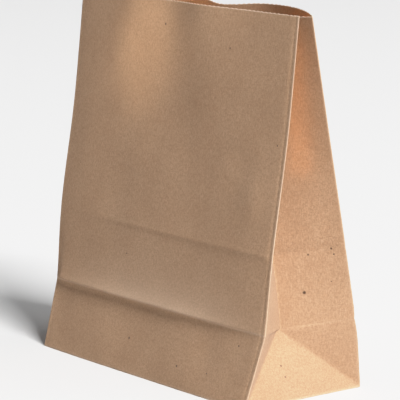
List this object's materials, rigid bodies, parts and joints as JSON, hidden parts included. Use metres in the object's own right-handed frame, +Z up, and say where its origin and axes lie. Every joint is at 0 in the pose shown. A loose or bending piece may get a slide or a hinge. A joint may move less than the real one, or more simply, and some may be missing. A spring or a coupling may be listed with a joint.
{
  "type": "paper lunch bag",
  "caption": "Brown kraft paper lunch bag with folded side gussets, an open mouth and a flat pasted block bottom, standing up.",
  "frame": {"origin": "centre of the base's underside, where the bag stands on a table", "axes": "+Z up through the open mouth; the front panel, with the cross creases, faces -Y; the gussets face +X and -X"},
  "size_m": [0.1802, 0.0776, 0.1934],
  "materials": {
    "kraft_paper": "uncoated brown kraft, matt, fine fibre grain with darker flecks"
  },
  "bodies": {
    "root": {"paper_bag": "kraft_paper"}
  },
  "joints": []
}
